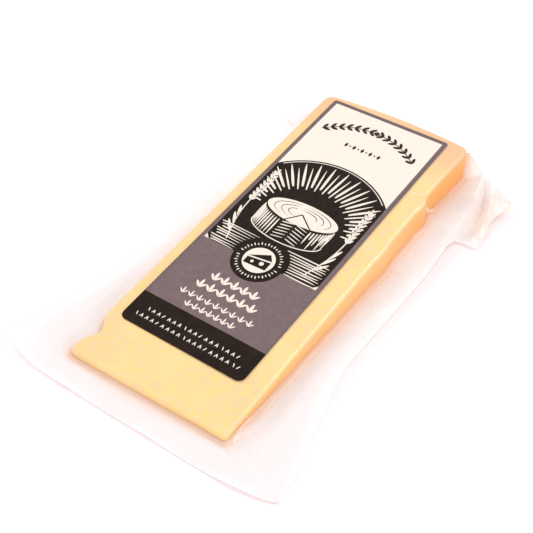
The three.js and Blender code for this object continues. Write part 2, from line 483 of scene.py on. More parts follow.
def top_rings(outwards):
    """The rings of the top face and of its rounded edge, at a distance outside the cheese"""
    rings = []
    for inset in INSETS:
        rings.append([
            Vector((place.x, place.y, top_at(place.y) - CHEESE_SINK + outwards
                    + swell(place.x, place.y)))
            for place in inner_stations(inset)
        ])
    for degrees in EDGE_ANGLES:
        angle = math.radians(degrees)
        inwards = TOP_RADIUS * (1 - math.sin(angle))
        drop = TOP_RADIUS * (1 - math.cos(angle))
        ring = []
        for place, outward in WALL:
            spot = place + outward * (outwards * math.sin(angle) - inwards)
            height = top_at(spot.y) - drop - CHEESE_SINK + outwards * math.cos(angle)
            ring.append(Vector((*spot, height + math.cos(angle) * swell(spot.x, spot.y))))
        rings.append(ring)
    return rings


def wall_ring(outwards, height_of):
    """One ring on the wall"""
    ring = []
    for index, (place, outward) in enumerate(WALL):
        height = height_of(index)
        reach = outwards + wall_swell(index, height)
        ring.append(Vector((*(place + outward * reach), height)))
    return ring


def rind_depth(place):
    """How deep under the rind a place lies"""
    across = across_wedge(place.x)
    return CHEESE["far"] + RIND_BOW * (1 - across * across) - place.y


# %% [markdown]
# ## The cheese
#
# The wedge itself is a closed body inside the film. It could be left out under an opaque colour,
# but the film is clear, so its colour, its shine and the rind at the far end all come from real
# cheese. Each point carries three masks: how near it lies to the rind, which also paints shade
# along the left edge; whether it is on the rind itself; and whether it is on a wall, where a deeper
# orange is painted as shade.

# %% The finish of the cheese
CURD_PALE = (0.86, 0.615, 0.285)
CURD_PEACH = (0.86, 0.57, 0.29)
CURD_YELLOW = (0.87, 0.63, 0.21)
# The two wall oranges are painted shade on the walls, the second one towards the far end.
WALL_SHADE_ORANGE = (0.925, 0.485, 0.17)
WALL_SHADE_ORANGE_FAR = (0.90, 0.375, 0.075)
UNDER_RIND_AND_LEFT_SHADE = (0.79, 0.455, 0.25)
RIND_TAN = (0.62, 0.385, 0.225)
RIND_DARK = (0.47, 0.285, 0.165)
DEEPENS_Y = (0.0, 0.075)


def cheese_material():
    """Pale, slightly mottled curd, painted shade in deeper orange on the walls, clothbound rind at
    the far end
    """
    material, tree, place = new_material("cheddar")
    broad = patches(tree, place, 75, 2, 0.36, 0.66)
    fine = patches(tree, place, 420, 4, 0.44, 0.64)
    colour = blend(tree, broad, CURD_PALE, CURD_PEACH)
    colour = blend(tree, times(tree, fine, 0.75), colour, CURD_YELLOW)
    # The tone under the rind is the cheese's own; the same mask adds painted shade along the left
    # edge of the top.
    under = mark(tree, "under_rind_and_left_shade")
    colour = blend(tree, between(tree, under, 0.0, 1.15, 0, 0.9), colour, UNDER_RIND_AND_LEFT_SHADE)
    along = add(tree, "ShaderNodeSeparateXYZ", {0: place}).outputs["Y"]
    # Painted shade on the walls: a deeper orange, deeper still towards the far end.
    deep = blend(tree, between(tree, along, *DEEPENS_Y), WALL_SHADE_ORANGE, WALL_SHADE_ORANGE_FAR)
    colour = blend(tree, mark(tree, "wall"), colour, deep)
    crust = mark(tree, "crust")
    stain = patches(tree, place, 190, 5, 0.4, 0.62)
    rind = blend(tree, stain, RIND_TAN, RIND_DARK)
    colour = blend(tree, crust, colour, rind)
    grain = patches(tree, place, 1300, 5, 0.3, 0.7)
    cloth = add(tree, "ShaderNodeTexWave", {
        "Vector": place, "Scale": 260.0, "Distortion": 1.2, "Detail": 1.0,
    }, wave_type="BANDS", bands_direction="DIAGONAL").outputs["Fac"]
    height = add(tree, "ShaderNodeMix", {0: crust, 2: grain, 3: cloth}).outputs[0]
    shader = add(tree, "ShaderNodeBsdfPrincipled", {
        "Base Color": colour, "Roughness": between(tree, crust, 0, 1, 0.42, 0.85),
        "Subsurface Weight": 0.18, "Subsurface Radius": (1.0, 0.55, 0.25),
        "Subsurface Scale": 2.2 * MM, "Normal": bump(tree, height, 0.05, 0.6),
    })
    finish_material(tree, shader.outputs[0])
    return material


CHEDDAR = cheese_material()


# %% [markdown]
# The body goes from the middle of the top, over the rounded edge and down the wall, to a lower edge
# that is sharper at the thin nose. The masks could be painted by hand, but each follows from where
# a point is: how far below the top, and how far in from the rind.

# %% The body of the cheese
WALL_SHARES = (0.12, 0.25, 0.38, 0.5, 0.62, 0.75, 0.88, 1)
LOWER_EDGE_ANGLES = (30, 60, 90)
WALL_END = 0.1
REST_GAP = 0.06
NOSE_SHADE_SHARE = 0.08
NOSE_LENGTH = 8
UNDER_RIND_DEPTH = (4, 40)
CRUST_DEPTH = (0.3, 1.1)


def bottom_radius(y):
    """Radius of the lower edge at a distance along the wedge"""
    return lerp(*BOTTOM_RADII, smoothstep(y, *BOTTOM_ROUNDING_Y))


def wall_height(index, share):
    """Height on the wall at a station, at a share of the way down"""
    y = WALL[index][0].y
    return lerp(top_at(y) - TOP_RADIUS - CHEESE_SINK, bottom_radius(y) + WALL_END, share)


def lower_edge_ring(degrees):
    """One ring of the rounded lower edge"""
    angle = math.radians(degrees)
    ring = []
    for place, outward in WALL:
        radius = bottom_radius(place.y)
        spot = place - outward * radius * (1 - math.cos(angle))
        ring.append(Vector((*spot, radius * (1 - math.sin(angle)) + REST_GAP)))
    return ring


def cheese_masks(ring):
    """The masks of a ring: painted shade on a wall, the tone under the rind, and the rind itself"""
    depths = [rind_depth(place) for place in ring]
    drops = [top_at(place.y) - place.z for place in ring]
    # The walls' painted shade fades to a trace on the thin nose, and starts lower down on the left.
    nose = [lerp(NOSE_SHADE_SHARE, 1, smoothstep(place.y, CHEESE["near"], CHEESE["near"] + NOSE_LENGTH))
            for place in ring]
    lefts = [max(-outward.x, 0) for _, outward in WALL]
    wall = [pale * smoothstep(drop, lerp(0.3, 1.2, left), lerp(1.2, 2.6, left))
            for pale, drop, left in zip(nose, drops, lefts)]
    # Under the rind the cheese is darker; the last term paints shade along the left edge.
    under = [(1 - smoothstep(depth, *UNDER_RIND_DEPTH))
             * lerp(0.6, 1, smoothstep(place.x, -30, 20))
             + 0.32 * smoothstep(-place.x, 20, 36) for depth, place in zip(depths, ring)]
    crust = [1 - smoothstep(depth, *CRUST_DEPTH) for depth in depths]
    return wall, under, crust


def cheese_body():
    """The wedge, from the middle of its top to the middle of its resting face"""
    rings = top_rings(0)
    rings += [wall_ring(0, lambda index, share=share: wall_height(index, share))
              for share in WALL_SHARES]
    rings += [lower_edge_ring(degrees) for degrees in LOWER_EDGE_ANGLES]
    marked = [(ring, *cheese_masks(ring)) for ring in rings]
    return closed_body(marked, ["wall", "under_rind_and_left_shade", "crust"])


cheese = make_piece("cheese", cheese_body(), CHEDDAR)
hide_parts("pouch")

# %% [markdown]
# ## The film
#
# The pouch is two sheets of film, drawn tight over the cheese by the vacuum. Over the cheese they
# follow every swell. They leave the wall between a fifth and two fifths of the way up, and higher
# at the two right corners. From there they run out together as a stiff margin. The height of that
# margin is one function: held up at the cheese, dropping to the table, lifted and crumpled towards
# the rim.

# %% The height of the margin
SEAM_SHARE = (0.2, 0.38)
SEAM_RISE_Y = (5, 62)
NEAR_CORNER_RISE = 0.32
NEAR_CORNER_Y = (-90, -66)
CORNER_WEB_DROP = 2.2
FOOT_REACH = 1.5
WEB_REACH = 0.3
WEB_HEIGHT = (0.15, 1.3)
TENT_Y = ((36, 52), (44, 66))
EAR_LIFT = (2.6, 5.2)
SIDE_LIFT = 2.4
RIM_LIFT = 1.4
NEAR_CURL = 2.6
SLOW_WAVE = 0.5
CRUMPLE = 1.3
VALLEY_DEPTH = 0.5
LEAST_HEIGHT = 0.8
SHEET_GAP = 0.16
MARGIN_SINK = 0.62


def seam_height(index):
    """Height at which the margin leaves the cheese, at a station"""
    place, outward = WALL[index]
    top = top_at(place.y)
    near_corner = max(outward.x, 0) * (1 - smoothstep(place.y, *NEAR_CORNER_Y))
    share = lerp(*SEAM_SHARE, smoothstep(place.y, *SEAM_RISE_Y)) + NEAR_CORNER_RISE * near_corner
    plain = share * top
    cornering = (2 * abs(outward.x * outward.y)) ** 2 if min(place.x, place.y) > 0 else 0
    return lerp(plain, top - CORNER_WEB_DROP, cornering)


def fold(value, length):
    """A sharp fold: up and down in straight lines, from -1 to 1"""
    return 1 - 4 * abs((value / length) % 1 - 0.5)


def margin_height(index, spot):
    """Height of the margin at a spot between the cheese and the rim"""
    foot, outward = WALL[index]
    side = 0 if outward.x > 0 else 1
    distance = (spot - foot).length
    share = min(distance / (RIM[index][0] - foot).length, 1)
    sideways = outward.x ** 2
    thick_end = smoothstep(foot.y, *TENT_Y[side])
    at_rind = 1 - sideways if spot.y > 0 else 0
    held = lerp(1 - share, 1 - smoothstep(distance, 0, 17), at_rind)
    lift = sideways * lerp(SIDE_LIFT * bell(spot.y, 5, 60), EAR_LIFT[side], thick_end)
    curl = NEAR_CURL * bell(spot.x, -65, 18) * bell(spot.y, -106, 18)
    wave = SLOW_WAVE * ripple(spot.x, 39) * ripple(spot.y, 57)
    crumple = thick_end * sideways * CRUMPLE * ripple(spot.x, 11.4) * ripple(spot.y + spot.x, 15)
    height = held * seam_height(index) + share * (RIM_LIFT + lift + wave + crumple) + curl
    valley = VALLEY_DEPTH * bell(distance, 6, 3) * sideways * (1 - smoothstep(foot.y, -62, -30))
    return max(height - valley, LEAST_HEIGHT) - MARGIN_SINK * (1 - smoothstep(height, 1, 4))


# %% [markdown]
# At the thick end the film has too much width, and it stands up in a sharp crest beside the
# cheese before it drops into an ear, with a valley and a smaller fold in it. No simple function
# gives that, so it is keyed: at some distances along the wall the crest, the valley, the fold and
# the rim are given as places, and the stations between are filled in. The left ear is a smaller
# one, further back.

# %% The ears
EAR_SHARES = (0, 0.4, 0.55, 0.78, 1)
RIGHT_EAR = (
    (-20, (51.0, -20.8, 3.1), (51.15, -20.8, 2.9), (51.3, -20.8, 2.7), (51.6, -20.8, 2.4)),
    (0, (50.9, 3.2, 3.7), (51.05, 3.3, 3.4), (51.2, 3.3, 3.1), (51.5, 3.3, 2.8)),
    (18, (50.6, 24.2, 4.4), (50.8, 24.6, 4.1), (51.0, 24.8, 3.7), (51.3, 25.0, 3.3)),
    (34, (49.6, 42.5, 5.6), (49.75, 43, 5.2), (49.9, 43.6, 4.7), (50.1, 44.2, 4.2)),
    (37, (49.3, 45.5, 6.0), (49.5, 46.4, 5.0), (49.8, 47.4, 4.0), (50.0, 48.3, 3.2)),
    (40, (49.2, 48.5, 6.5), (49.5, 50, 3.6), (49.9, 51, 2.4), (50.2, 51.8, 1.8)),
    (43, (49.2, 50.5, 6.8), (50.0, 52.2, 2.2), (51.0, 52.6, 1.7), (52.0, 52.8, 1.5)),
    (46, (49.2, 53, 7.2), (50.4, 54.2, 1.6), (53.0, 54.0, 1.5), (56.0, 53.1, 1.3)),
    (49, (49.2, 55, 7.6), (50.6, 56, 1.5), (55.0, 55.8, 1.6), (59.2, 53.4, 1.1)),
    (51.6, (49.2, 57.0, 8.0), (50.7, 57.7, 1.5), (55.2, 57.8, 1.7), (59.9, 54.6, 1.1)),
    (55, (49.3, 60, 8.5), (51.0, 61, 2.0), (55.3, 61.5, 1.9), (59.8, 59.0, 1.4)),
    (60, (49.2, 64.5, 9.2), (51.1, 66, 2.4), (56.5, 66.5, 3.2), (59.1, 65.5, 1.9)),
    (64, (48.5, 68, 9.7), (51.1, 70, 2.7), (55.9, 70.2, 4.4), (57.6, 70.0, 2.6)),
    (68, (47.4, 72, 10.1), (50.7, 74, 2.9), (54.5, 73.5, 5.3), (57.9, 75.2, 3.4)),
    (72, (46.1, 76, 10.6), (49.8, 78, 3.2), (52.9, 76.8, 6.0), (59.7, 79.6, 4.0)),
    (76, (45.3, 80, 11.0), (48.6, 81.3, 3.6), (51.6, 80.2, 6.6), (60.2, 84.2, 4.6)),
    (77.5, (44.9, 81.5, 11.1), (48.0, 82.6, 3.8), (51.0, 81.6, 6.8), (59.4, 86.4, 4.9)),
    (80, (44.3, 83.7, 11.3), (47.2, 84.7, 4.1), (50.2, 84.2, 7.0), (55.9, 85.8, 5.4)),
    (83, (43.4, 87, 11.7), (45.9, 87.8, 4.6), (48.6, 87.6, 7.2), (53.3, 88.8, 6.1)),
    (85.5, (42.3, 89.8, 12), (44.4, 90.6, 5.2), (46.8, 90.8, 7.3), (50.4, 92.0, 6.5)),
    (88, (40.8, 92.0, 11.5), (42.6, 93, 5.6), (44.9, 93.6, 7.2), (47.3, 95.3, 7.0)),
    (90.5, (38.5, 93.8, 10.5), (40.3, 95, 6.0), (42.4, 96, 6.6), (44.0, 97.4, 6.6)),
    (96, (33.5, 95.5, 8.5), (35.5, 97.5, 6.0), (37.5, 99, 5.4), (40.5, 100.6, 4.8)),
    (110, (22, 97, 6), (24, 99.5, 4.5), (26, 101.5, 3.6), (28, 104.5, 2.6)),
)
LEFT_EAR = (
    (60, (-48.5, 71, 4.2), (-49.5, 72, 3.6), (-51, 73, 3.0), (-53, 74.5, 2.4)),
    (66, (-48.5, 78, 4.4), (-50, 79, 3.4), (-51.5, 80, 2.8), (-53.5, 80.5, 2.2)),
    (72, (-48.5, 82, 4.6), (-50.5, 83, 2.6), (-55, 83.5, 2.0), (-58.5, 84, 1.4)),
    (77, (-47.5, 86, 4.8), (-50.5, 87, 2.2), (-57, 87.5, 2.6), (-62, 86, 1.4)),
    (81, (-46.5, 89.5, 4.9), (-50, 90.5, 2.3), (-56.5, 91.5, 3.2), (-61, 91, 1.8)),
    (84, (-45.5, 92, 4.9), (-48.5, 93, 2.6), (-54, 94.5, 3.4), (-61.5, 96, 2.2)),
    (87, (-43.5, 94, 4.8), (-46, 95.5, 2.8), (-50, 98, 3.2), (-55, 99.5, 2.2)),
    (90.5, (-41, 96, 4.6), (-42.5, 98, 3.0), (-45, 100.5, 2.8), (-48, 102, 2.0)),
    (96, (-36, 97, 4.6), (-37.5, 99.5, 3.4), (-39.5, 101.5, 2.6), (-42, 103.5, 2.0)),
    (110, (-26, 98, 4.6), (-27.5, 100, 3.4), (-29, 102, 2.6), (-31, 104.8, 2.0)),
)
EAR_START = ((-20, 5), (50, 72))
EAR_END = (92, 110)


def lengths_round(stations):
    """How far along the outline each station lies"""
    total, lengths = 0.0, [0.0]
    for (before, _), (place, _) in zip(stations, stations[1:]):
        total += (place - before).length
        lengths.append(total)
    return lengths


WALKED = lengths_round(WALL)
RIGHT_START = WALKED[CORNER_STEPS]
LEFT_START = WALKED[COUNT - CORNER_STEPS - END_STEPS]
RIND_MIDDLE = (COUNT - END_STEPS) // 2


def ear_place(index):
    """Which ear a station belongs to, and how far along the wall from the nose it lies"""
    if index <= RIND_MIDDLE:
        return 0, CHEESE["near"] + CORNER_RADII[0] + WALKED[index] - RIGHT_START
    return 1, CHEESE["near"] + CORNER_RADII[3] + LEFT_START - WALKED[index]


def ear_points(side, along):
    """Crest, valley, fold and rim of an ear, at a distance along the wall"""
    keys = LEFT_EAR if side else RIGHT_EAR
    number = 0
    while number < len(keys) - 2 and along > keys[number + 1][0]:
        number += 1
    low, high = keys[number], keys[number + 1]
    share = min(max((along - low[0]) / (high[0] - low[0]), 0), 1)
    return [Vector(first).lerp(Vector(second), share) for first, second in zip(low[1:], high[1:])]


# %% [markdown]
# The film is drawn as rings too: over the top, down the wall to a short curved web, out to the rim
# as the upper sheet, and back as the lower sheet to the resting face. The sheets could be two
# pieces, but one closed body has a clear inside and outside. Its points carry three masks: how
# slack the film is, a painted glow from the cheese with painted shade in the ear, the valley and
# the near fold, and a painted shadow line along its near edge.

# %% The rings of the film
MARGIN_SHARES = [number / 50 for number in range(1, 51)]
WEB_SHARES = (0, 0.25, 0.5, 0.75, 1)
EAR_ROUGHNESS = 0.35
# A painted glow from the cheese lies on the film beside it, and painted shade in the ear, the valley
# and the near fold.
GLOW = 0.85
GLOW_REACH = 1.6
EAR_PAINTED_SHADE = 0.36
VALLEY_PAINTED_SHADE = 0.25
NEAR_FOLD_PAINTED_SHADE = 0.08
WALL_PAINTED_GLOW = 0.9
WEB_PAINTED_GLOW = 0.95


def margin_spot(index, share):
    """A place on the margin, at a share of the way from the foot to the rim"""
    place, outward = WALL[index]
    foot = place + outward * FOOT_REACH
    flat = foot.lerp(RIM[index][0], share)
    plain = Vector((*flat, margin_height(index, flat)))
    side, along = ear_place(index)
    weight = smoothstep(along, *EAR_START[side]) * (1 - smoothstep(along, *EAR_END))
    if weight == 0:
        return plain
    points = [Vector((*foot, seam_height(index)))] + ear_points(side, along)
    number = 0
    while number < 3 and share > EAR_SHARES[number + 1]:
        number += 1
    step = (share - EAR_SHARES[number]) / (EAR_SHARES[number + 1] - EAR_SHARES[number])
    keyed = points[number].lerp(points[number + 1], step)
    rough = EAR_ROUGHNESS * fold(keyed.x + 0.6 * keyed.y, 7.3) * fold(keyed.y - 0.5 * keyed.x, 9.1)
    keyed.z += rough * smoothstep(share, 0.42, 0.6) * smoothstep(along, 30, 55)
    return plain.lerp(keyed, weight)


def glow_and_shade_at(index, spot, share):
    """Painted glow from the cheese, and painted shade in the ear, valley and near fold, at a spot"""
    place, outward = WALL[index]
    distance = (spot.xy - place).length - FOOT_REACH
    glow = GLOW * math.exp(-max(distance, 0) / GLOW_REACH)
    ear = EAR_PAINTED_SHADE * smoothstep(spot.x, 49, 53) * smoothstep(spot.y, 52, 64)
    valley = VALLEY_PAINTED_SHADE * bell(spot.x, 49.5, 4) * bell(spot.y, 77, 9) * bell(share, 0.56, 0.14)
    near_fold = bell(distance, 5, 3.5) * max(outward.x, 0) * bell(place.y, -72, 26)
    return min(glow + ear + valley + NEAR_FOLD_PAINTED_SHADE * near_fold, 1)


def margin_rings(lowered):
    """The rings from the foot of the wall out to the rim"""
    rings = []
    for share in MARGIN_SHARES:
        ring, slack, glow_and_shade, edge = [], [], [], []
        for index, (place, outward) in enumerate(WALL):
            spot = margin_spot(index, share)
            distance = (spot.xy - place).length - FOOT_REACH
            ring.append(Vector((spot.x, spot.y, spot.z - lowered)))
            slack.append(lerp(0.85, 1, smoothstep(distance, 0, 2)))
            glow_and_shade.append(glow_and_shade_at(index, spot, share))
            # A painted shadow line runs along the near rim, fading out towards the left.
            near_rim_shadow = max(-outward.y, 0) * smoothstep(spot.x, -66, 0)
            edge.append(near_rim_shadow if share == 1 else 0.0)
        rings.append((ring, slack, glow_and_shade, edge))
    return rings


def web_rings():
    """The rings where the film leaves the wall in a short curve"""
    rings = []
    for share in WEB_SHARES:
        ring, slack = [], []
        for index, (place, outward) in enumerate(WALL):
            wall_top = top_at(place.y) - TOP_RADIUS
            thin = 1 - smoothstep(wall_top, 2, 8)
            rise = lerp(*WEB_HEIGHT, 1 - thin)
            slack.append(lerp(0.35 + 0.5 * share, 0.8 + 0.1 * share, thin))
            web = min(seam_height(index) + rise, wall_top - 0.25)
            reach = lerp(WEB_REACH, FOOT_REACH, share ** 2)
            height = lerp(web, seam_height(index), share)
            ring.append(Vector((*(place + outward * reach), height)))
        rings.append((ring, slack, WEB_PAINTED_GLOW, 0.0))
    return rings


def under(index):
    """Height of the lower sheet where it comes back to the wall"""
    return seam_height(index) - SHEET_GAP


def film_body():
    """Both sheets as one closed body"""
    tops = top_rings(FILM_GAP)
    rings = [(ring, 0.0, 0.0, 0.0) for ring in tops[:-len(EDGE_ANGLES)]]
    for degrees, ring in zip(EDGE_ANGLES, tops[-len(EDGE_ANGLES):]):
        # On the rounded edge, chiefly on the right, slack makes the film milky in a pale line: a
        # painted highlight.
        drawn = bell(degrees, 42, 22)
        slack = [drawn * (0.05 + 0.26 * max(outward.x, 0) * (1 + 0.8 * noise.noise(
            Vector((0, place.y / 7, 2.7))))) for place, outward in WALL]
        rings.append((ring, slack, 0.0, 0.0))
    wall_top = [top_at(place.y) - TOP_RADIUS - CHEESE_SINK for place, _ in WALL]
    webs = web_rings()
    web_top = [place.z for place in webs[0][0]]
    for share in (0.33, 0.66):
        ring = wall_ring(lerp(FILM_GAP, WEB_REACH, share),
                         lambda index, s=share: lerp(wall_top[index], web_top[index], s))
        rings.append((ring, 0.0, WALL_PAINTED_GLOW, 0.0))
    rings += webs
    rings += margin_rings(0)
    rings += list(reversed(margin_rings(SHEET_GAP)))
    for reach, height_of in (
        (FOOT_REACH, under),
        (WEB_REACH + 0.1, lambda index: max(under(index) - 1, under(index) / 2)),
        (FILM_GAP, lambda index: min(under(index) / 3, BOTTOM_RADIUS)),
        (FILM_GAP - 0.35, lambda index: min(under(index) / 12, BOTTOM_RADIUS / 4)),
        (-BOTTOM_RADIUS, lambda index: 0.0),
    ):
        ring = [Vector((*(place + outward * reach), height_of(index)))
                for index, (place, outward) in enumerate(WALL)]
        rings.append((ring, 0.2, WALL_PAINTED_GLOW, 0.0))
    return closed_body(rings, ["slack", "glow_and_shade", "edge"])


# %% [markdown]
# Clear film is mostly not there: light goes straight through, a little is scattered as a milky
# haze, and the surface shines. Over the cheese, where it clings, the haze is gone. In the margin
# two loose sheets lie on each other, and the haze shows as white. So a transparent shader is mixed
# with a scattering one by the mask of how slack the film is, and gloss is laid over both.

# %% The finish of the film
MILK = (0.985, 0.955, 0.955)
MILK_FAR_PAINTED_LIGHT = (0.99, 0.975, 0.97)
MILK_GLOW_AND_SHADE = (0.96, 0.71, 0.55)
MILK_RIM_SHADOW = (0.78, 0.63, 0.64)
MILK_TURNS_Y = (-0.075, 0.0)
THROUGH_SHARE = 0.35
LEAST_SHINE = 0.035
MOST_SHINE = 0.5


def film_material():
    """Clear glossy film, milky where it is slack"""
    material, tree, place = new_material("clear film")
    slack = mark(tree, "slack")
    cloud = patches(tree, place, 60, 3, 0.3, 0.7)
    glow_and_shade = mark(tree, "glow_and_shade")
    most = between(tree, glow_and_shade, 0, 1, 0.62, 0.85)
    haze = times(tree, times(tree, between(tree, slack, 0, 1, 0.02, 1), most),
                 between(tree, cloud, 0, 1, 0.9, 1.1))
    wrinkle = patches(tree, place, 180, 3, 0.35, 0.65)
    normal = bump(tree, times(tree, wrinkle, slack), 0.06, 0.5)
    clear = add(tree, "ShaderNodeBsdfTransparent", {"Color": (1, 1, 1, 1)}).outputs[0]
    along = add(tree, "ShaderNodeSeparateXYZ", {0: place}).outputs["Y"]
    # The milk is painted paler towards the far end, as painted light on the shaded margin beside the
    # far wall.
    plain = blend(tree, between(tree, along, *MILK_TURNS_Y), MILK, MILK_FAR_PAINTED_LIGHT)
    # The milk takes a painted glow from the cheese and painted shade in its folds.
    tint = blend(tree, glow_and_shade, plain, MILK_GLOW_AND_SHADE)
    # The near rim's painted shadow line.
    tint = blend(tree, mark(tree, "edge"), tint, MILK_RIM_SHADOW)
    white = add(tree, "ShaderNodeBsdfDiffuse", {"Color": tint, "Normal": normal}).outputs[0]
    through = add(tree, "ShaderNodeBsdfTranslucent", {
        "Color": tint, "Normal": normal}).outputs[0]
    milk = add(tree, "ShaderNodeMixShader", {0: THROUGH_SHARE, 1: white, 2: through}).outputs[0]
    body = add(tree, "ShaderNodeMixShader", {0: haze, 1: clear, 2: milk}).outputs[0]
    gloss = add(tree, "ShaderNodeBsdfGlossy", {
        "Color": (1, 1, 1, 1), "Roughness": 0.2, "Normal": normal}).outputs[0]
    glance = add(tree, "ShaderNodeLayerWeight", {"Blend": 0.5, "Normal": normal}).outputs["Facing"]
    steep = add(tree, "ShaderNodeMath", {0: glance, 1: 5.0}, operation="POWER").outputs[0]
    shine = between(tree, steep, 0, 1, LEAST_SHINE, MOST_SHINE)
    shader = add(tree, "ShaderNodeMixShader", {0: shine, 1: body, 2: gloss}).outputs[0]
    finish_material(tree, shader)
    return material


FILM = film_material()
film = make_piece("film", film_body(), FILM)
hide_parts("pouch")

# %% [markdown]
# ## Puckers in the film
#
# Where the film had a little too much width it was pinched into a small standing fold. A mesh this
# even can't hold so narrow a ridge, so each pucker is a strip of its own: a grid whose middle line
# is raised, laid along the line that the fold takes over the top and down the wall.

# %% Smooth lines and strips
def smooth_line(points, steps):
    """Places along a smooth line through the points"""
    places = []
    last = len(points) - 1
    for step in range(steps + 1):
        along = step / steps * last
        index = min(int(along), last - 1)
        share = along - index
        before = points[max(index - 1, 0)]
        start, end = points[index], points[index + 1]
        after = points[min(index + 2, last)]
        places.append(0.5 * (
            2 * start + (end - before) * share
            + (2 * before - 5 * start + 4 * end - after) * share ** 2
            + (3 * (start - end) + after - before) * share ** 3))
    return places


def strip_grid(bm, steps, lines):
    """A flat grid, as rows of points: one row for each step along it"""
    points = bmesh.ops.create_grid(bm, x_segments=steps, y_segments=lines, size=1)["verts"]
    rows = [[] for _ in range(steps + 1)]
    for point in points:
        rows[round((point.co.x + 1) / 2 * steps)].append(point)
    for row in rows:
        row.sort(key=lambda point: point.co.y)
    return rows


def pucker(bm, layer, points, width, height, up):
    """A small standing fold along a line"""
    steps = 8 * (len(points) - 1)
    line = smooth_line(points, steps)
    rows = strip_grid(bm, steps, 6)
    for step, row in enumerate(rows):
        ahead = line[min(step + 1, steps)] - line[max(step - 1, 0)]
        across = up(line[step]).cross(ahead).normalized()
        size = math.sin(math.pi * min(step / steps * 0.9 + 0.1, 1)) ** 0.5
        for column, point in enumerate(row):
            share = column / 3 - 1
            ridge = math.exp(-(share * 2.2) ** 2)
            point.co = (line[step] + across * share * width / 2 * size
                        + up(line[step]) * height * size * ridge)
            # Slack along the ridge makes it milky white, which paints the fold's highlight.
            point[layer] = 0.75 * ridge


# %% [markdown]
# A pucker's line runs over the top face or hangs on the wall, so two helpers find a place just on
# the film there. A third says which way the fold stands, with a smooth turn at the edge.

# %% The puckers
UPWARDS = Vector((0, 0, 1))
SIDEWAYS = Vector((1, 0, 0))


def on_top(x, y):
    """A place just on the film over the top face"""
    return Vector((x, y, top_at(y) - CHEESE_SINK + FILM_GAP + swell(x, y) + 0.03))


def on_wall(y, z, out=0.2):
    """A place just on the film over the right wall, or at a distance out from the cheese"""
    index = min(range(COUNT), key=lambda number: (
        abs(WALL[number][0].y - y) if WALL[number][1].x > 0.99 else 1e9))
    return Vector((WALL[index][0].x + out, y, z))


def pucker_up(place):
    """Upwards on the top face, and outwards on the wall, with a smooth turn at the edge"""
    share = smoothstep(place.x, CHEESE["right"] - 1.8, CHEESE["right"] + 0.1)
    return UPWARDS.lerp(SIDEWAYS, share).normalized()


def puckers_body():
    """All puckers of the film"""
    bm = bmesh.new()
    layer = bm.verts.layers.float.new("slack")
    far = [on_top(26.7, 49.9), on_top(28.7, 50.4), on_top(31.1, 50.0), on_top(33.4, 50.2)]
    pucker(bm, layer, far, 1.9, 0.5, pucker_up)
    wall = [on_wall(46.8, 17.7), on_wall(49.3, 14.4, 0.4), on_wall(52.7, 11.0, 0.9),
            on_wall(55.6, 9.6, 1.5), on_wall(58.3, 9.2, 1.7)]
    pucker(bm, layer, wall, 3.2, 0.7, lambda place: SIDEWAYS)
    near = [on_top(26.3, 14.3), on_top(27.5, 14.1), on_top(29.7, 13.2), on_top(31.5, 12.9)]
    pucker(bm, layer, near, 1.5, 0.35, pucker_up)
    nose = [on_top(-35.6, -83.5), on_top(-33.6, -85.2), on_top(-30.6, -87.8)]
    pucker(bm, layer, nose, 0.9, 0.25, pucker_up)
    bmesh.ops.recalc_face_normals(bm, faces=bm.faces)
    return bm


puckers = make_piece("film_puckers", puckers_body(), FILM)
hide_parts("pouch")

# %% [markdown]
# ## Laying things on the sloping top
#
# The label and everything printed on it are drawn flat, as a printer would: u runs across from the
# left edge and v down from the far edge, in millimetres. One function then lays a drawing on the
# sloping face, with a slow wave such as paper has over a firm surface, and a small lift that keeps
# ink above paper.

# %% Laying a drawing on the slope
LABEL_WIDTH = 60
LABEL_LENGTH = 156.4
LABEL_X = -4
LABEL_Y = 7.8
PAPER_BOTTOM = 0.16
PAPER_THICKNESS = 0.16
INK_STEP = 0.035


def paper_wave(u, v):
    """The slow wave of the paper"""
    return 0.07 * ripple(u + 8, 67) * ripple(v, 83) + 0.05 * ripple(v + 0.4 * u, 59)


def lay(bm, lift):
    """Lays a flat drawing on the slope. The drawing has v downwards, so its y is -v."""
    for point in bm.verts:
        u, v = point.co.x, -point.co.y
        along = (LABEL_LENGTH / 2 - v) * math.cos(math.atan(SLOPE))
        y = LABEL_Y + along
        height = top_at(y) + PAPER_BOTTOM + paper_wave(u, v) + lift + point.co.z
        point.co = Vector((LABEL_X - LABEL_WIDTH / 2 + u, y, height))
    return bm


def slice_drawing(bm, pitch=3.0):
    """Cuts large flat faces into cells, so that they can follow the paper's wave"""
    for axis, length in ((Vector((1, 0, 0)), LABEL_WIDTH), (Vector((0, -1, 0)), LABEL_LENGTH)):
        for step in range(1, int(length / pitch)):
            bmesh.ops.bisect_plane(bm, geom=bm.verts[:] + bm.edges[:] + bm.faces[:],
                                   plane_co=axis * step * pitch, plane_no=axis, dist=1e-5)
    return bm


def panel(bm, left, right, top, bottom, radii=None):
    """A flat panel, with rounded corners where it has radii: near pair and far pair"""
    points = bmesh.ops.create_grid(bm, x_segments=1, y_segments=1, size=0.5)["verts"]
    size = Matrix.Diagonal((right - left, bottom - top, 1, 1))
    place = Matrix.Translation(((left + right) / 2, -(top + bottom) / 2, 0))
    bmesh.ops.transform(bm, matrix=place @ size, verts=points)
    for radius, near in zip(radii or (), (True, False)):
        corners = [point for point in points
                   if point.is_valid and (point.co.y < -(top + bottom) / 2) == near]
        bmesh.ops.bevel(bm, geom=corners, affect="VERTICES", offset=radius, segments=6,
                        profile=0.5, material=-1)


def give_thickness(piece, thickness):
    """Gives a flat piece its thickness, downwards from its printed side"""
    solidify = piece.modifiers.new("thickness", "SOLIDIFY")
    solidify.thickness = thickness * MM
    solidify.offset = -1
    return piece


